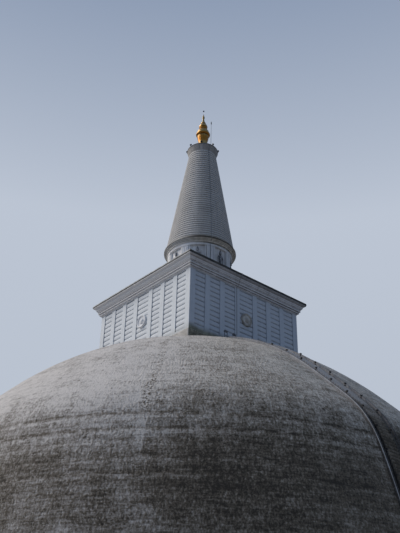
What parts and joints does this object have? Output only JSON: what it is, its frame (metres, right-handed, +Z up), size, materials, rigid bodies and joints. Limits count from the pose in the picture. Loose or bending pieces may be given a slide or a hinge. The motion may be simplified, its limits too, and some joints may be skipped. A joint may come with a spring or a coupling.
{
  "type": "one to ten scale model of a domed brick stupa",
  "caption": "Bubble-domed plastered stupa on stepped rings, with a square railed chamber, a niched drum, a ringed conical spire and a gilded pinnacle, as a scale model.",
  "frame": {"origin": "on the vertical axis of the dome, at ground level, at the middle of the underside of the lowest basal ring", "axes": "+Z up along the spire; the chamber's faces look along X and Y, and the stair on the dome climbs the -Y side"},
  "size_m": [9.9646, 9.9646, 10.318],
  "materials": {
    "weathered_plaster": "rough, stained lime plaster over brick",
    "lime_plaster": "matt white lime plaster",
    "spire_plaster": "matt grey lime plaster",
    "mossy_stone": "rough stone with dry moss",
    "dark_slab": "rough, weather-blackened slab",
    "gilding": "polished gilding",
    "crystal": "cut crystal",
    "dark_metal": "weathered dark metal"
  },
  "bodies": {
    "root": {"basal_ring_lower": "weathered_plaster", "basal_ring_middle": "weathered_plaster", "basal_ring_upper": "weathered_plaster", "dome": "weathered_plaster", "frontispiece_south": "weathered_plaster", "frontispiece_east": "weathered_plaster", "frontispiece_north": "weathered_plaster", "frontispiece_west": "weathered_plaster", "flower_altar_south": "lime_plaster", "flower_altar_east": "lime_plaster", "flower_altar_north": "lime_plaster", "flower_altar_west": "lime_plaster", "stair_kerb_west": "lime_plaster", "stair_kerb_east": "lime_plaster", "dome_stair": "mossy_stone", "chamber_plinth": "mossy_stone", "chamber_core": "lime_plaster", "rail_wall_south": "lime_plaster", "rail_wall_east": "lime_plaster", "rail_wall_north": "lime_plaster", "rail_wall_west": "lime_plaster", "sun_disc_south": "lime_plaster", "sun_disc_east": "lime_plaster", "sun_disc_north": "lime_plaster", "sun_disc_west": "lime_plaster", "cornice_mouldings": "lime_plaster", "cornice_cyma": "lime_plaster", "roof_slab": "dark_slab", "drum": "lime_plaster", "guardian_figure_1": "lime_plaster", "guardian_figure_2": "lime_plaster", "guardian_figure_3": "lime_plaster", "guardian_figure_4": "lime_plaster", "guardian_figure_5": "lime_plaster", "guardian_figure_6": "lime_plaster", "guardian_figure_7": "lime_plaster", "guardian_figure_8": "lime_plaster", "drum_ring": "mossy_stone", "spire": "spire_plaster", "spire_collar": "spire_plaster", "pinnacle_pot": "gilding", "pinnacle_bulb": "gilding", "pinnacle_finial": "gilding", "crystal_point": "crystal", "lightning_rod": "dark_metal"}
  },
  "joints": []
}
